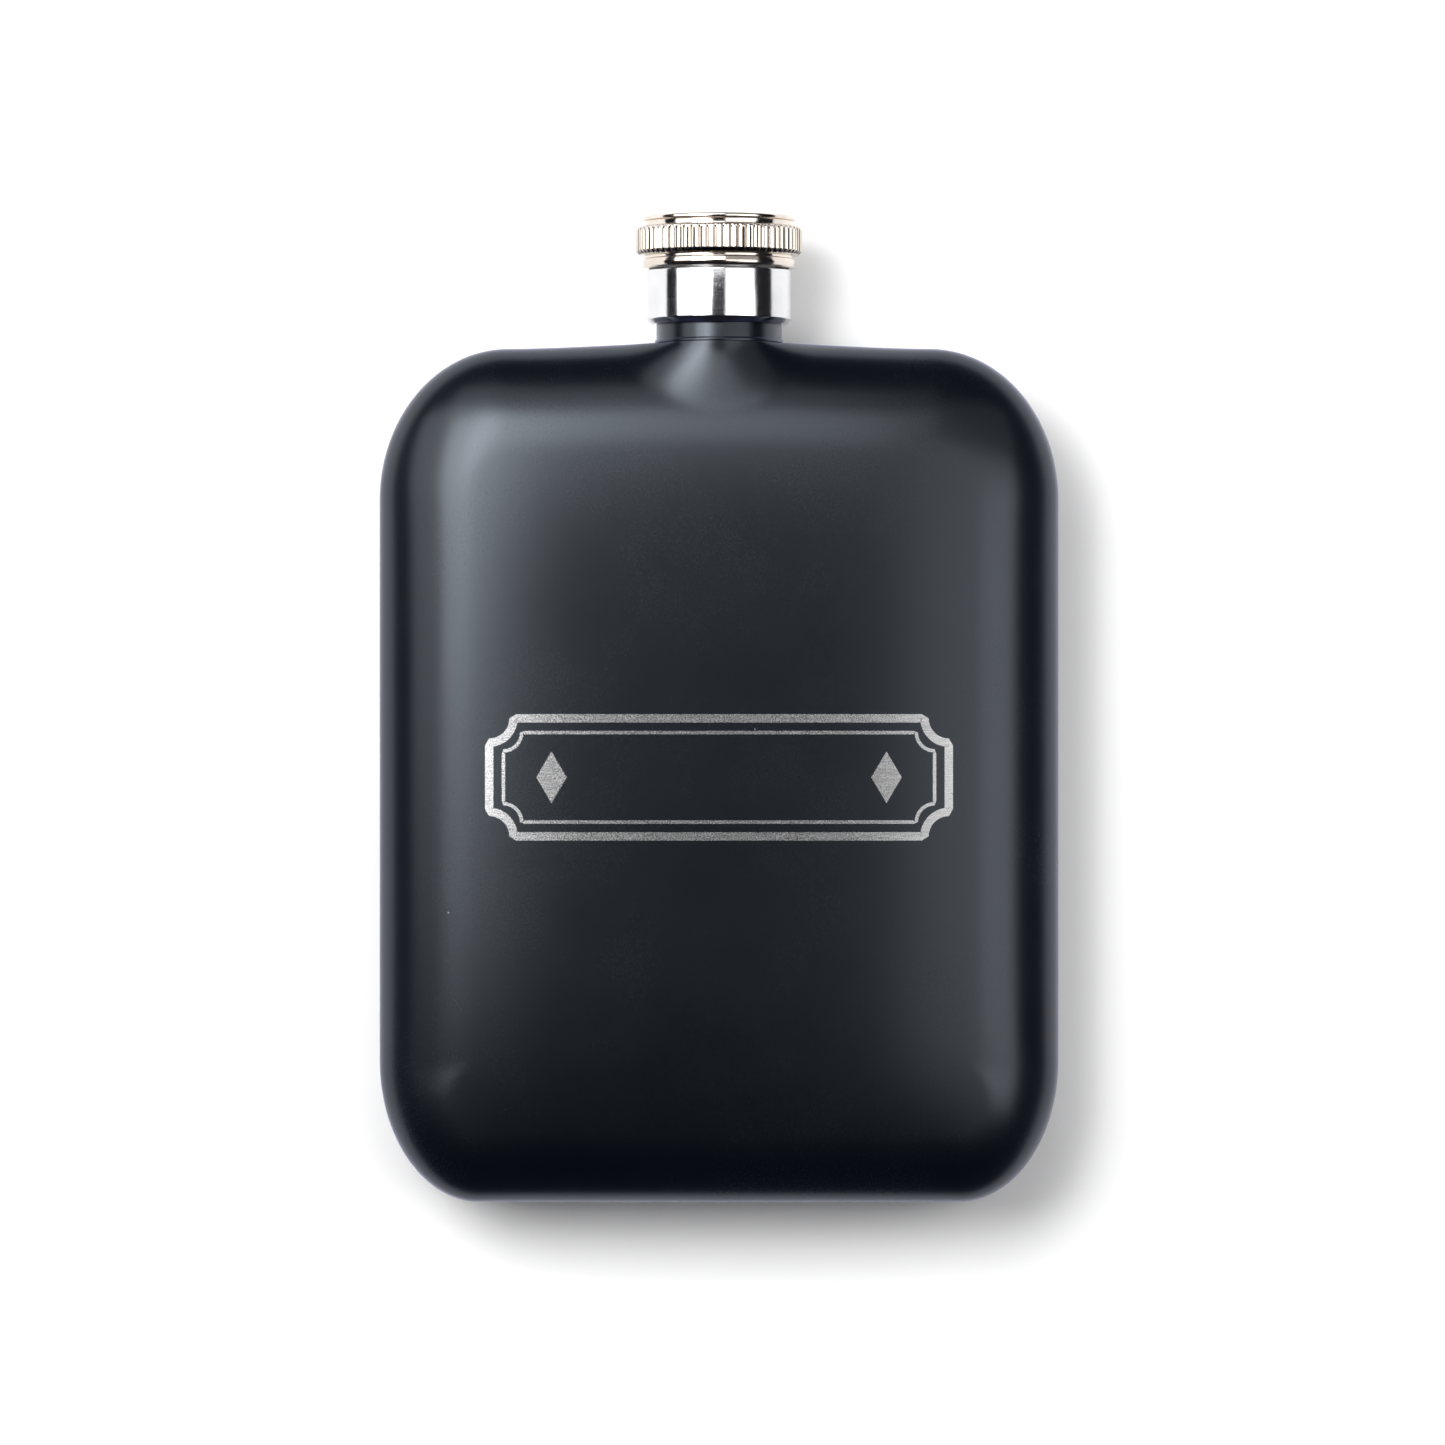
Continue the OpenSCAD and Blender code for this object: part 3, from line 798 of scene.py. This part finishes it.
def softbox(name, left, right, low, high, power, mirrored=True):
    """A rectangular area light that fills these angles as the flask sees it.

    left and right are degrees round the flask, with 0 in front and 90 on its right. low and high are
    degrees above the level. One that isn't mirrored only lifts the shadows.
    """
    distance, aim = 0.8, np.array((0, 0, 0.07))
    azimuth, elevation = math.radians((left + right) / 2), math.radians((low + high) / 2)
    data = bpy.data.lights.new(name, "AREA")
    data.shape = "RECTANGLE"
    data.size = 2 * distance * math.tan(math.radians(right - left) / 2)
    data.size_y = 2 * distance * math.tan(math.radians(high - low) / 2)
    data.energy = power
    light = bpy.data.objects.new(name, data)
    towards = np.array((math.sin(azimuth) * math.cos(elevation), -math.cos(azimuth) * math.cos(elevation),
                        math.sin(elevation)))
    light.location = aim + towards * distance
    light.rotation_euler = (math.pi / 2 - elevation, 0, azimuth)
    light.visible_camera = False
    light.visible_glossy = mirrored
    bpy.context.collection.objects.link(light)


def make_lights():
    """Two big softboxes, each with a hotter part, dimmer ones above and between them, a fill that
    only lifts the shadows, and three for the back."""
    softbox("left_box", -70, -11, -3, 38, 3.9)
    softbox("left_hot", -42, -18, 0, 32, 3.0)
    softbox("left_inner", -26, -11, 8, 34, 1.25)
    softbox("right_box", 30, 61, -12, 8, 0.4)
    softbox("right_hot", 10, 58, -12, 16, 1.75)
    softbox("top_box", -45, 0, 34, 54, 0.8)
    softbox("top_right", 10, 61, 18, 40, 0.35)
    softbox("middle", -11, 8, 13, 34, 0.85)
    softbox("right_fill", 20, 70, -25, 35, 1.6, mirrored=False)
    softbox("back_left", -160, -105, -5, 40, 3.0)
    softbox("back_right", 110, 160, -15, 30, 2.0)
    softbox("back_middle", 168, 200, 5, 45, 1.2)


def make_world():
    """White to the eye, and a dim grey room to everything else."""
    world = bpy.data.worlds.new("studio")
    bpy.context.scene.world = world
    world.use_nodes = True
    tree = world.node_tree
    ground = tree.nodes["Background"]
    ground.inputs["Color"].default_value = (0.012, 0.012, 0.015, 1)
    seen = tree.nodes.new("ShaderNodeBackground")
    seen.inputs["Color"].default_value = (1, 1, 1, 1)
    path = tree.nodes.new("ShaderNodeLightPath")
    pick = tree.nodes.new("ShaderNodeMixShader")
    tree.links.new(path.outputs["Is Camera Ray"], pick.inputs[0])
    tree.links.new(ground.outputs[0], pick.inputs[1])
    tree.links.new(seen.outputs[0], pick.inputs[2])
    tree.links.new(pick.outputs[0], tree.nodes["World Output"].inputs[0])


# --- The flask ----------------------------------------------------------------------------------

STAGE_GAP = 0.0005      # from the back of the flask to the sheet, in metres

make_camera()
make_world()
make_lights()
make_stage(cad_high.y + STAGE_GAP)
bpy.context.scene.view_settings.view_transform = "Standard"
bpy.context.scene.view_settings.look = "None"

coat = coat_material()
finish_piece(half_shell("front_half", -1), coat, "body_coat", "flask", "front_shell")
finish_piece(half_shell("back_half", 1), coat, "body_coat", "flask", "back_shell")
finish_piece(make_ferrule(), coat, "body_coat", "flask", "neck_ferrule")
finish_piece(make_collar(), collar_material(), "neck_steel", "flask", "neck_collar")
finish_piece(make_spout(), spout_material(), "spout_steel", "flask", "threaded_spout")
finish_piece(make_cap(), cap_material(), "cap_metal", "cap", "cap_shell")
finish_piece(make_liner(), liner_material(), "liner_plastic", "cap", "cap_liner")
finish_piece(make_seal(), seal_material(), "seal_rubber", "seal", "cap_seal")

bare_steel = engraving_material()
for number, (inset, width, notch) in enumerate(BANDS, 1):
    path, normals = frame_path(PANEL_W - 2 * inset - width, PANEL_H - 2 * inset - width, notch)
    path = path + (0, PANEL_Z)
    finish_piece(ribbon(f"panel_frame_{number}", path, normals, width), bare_steel, "neck_steel", "flask")
for number, x in enumerate((-LOZENGE_X, LOZENGE_X), 1):
    piece = lozenge(f"panel_lozenge_{number}", x, LOZENGE_HALF_W, LOZENGE_HALF_H)
    finish_piece(piece, bare_steel, "neck_steel", "flask")
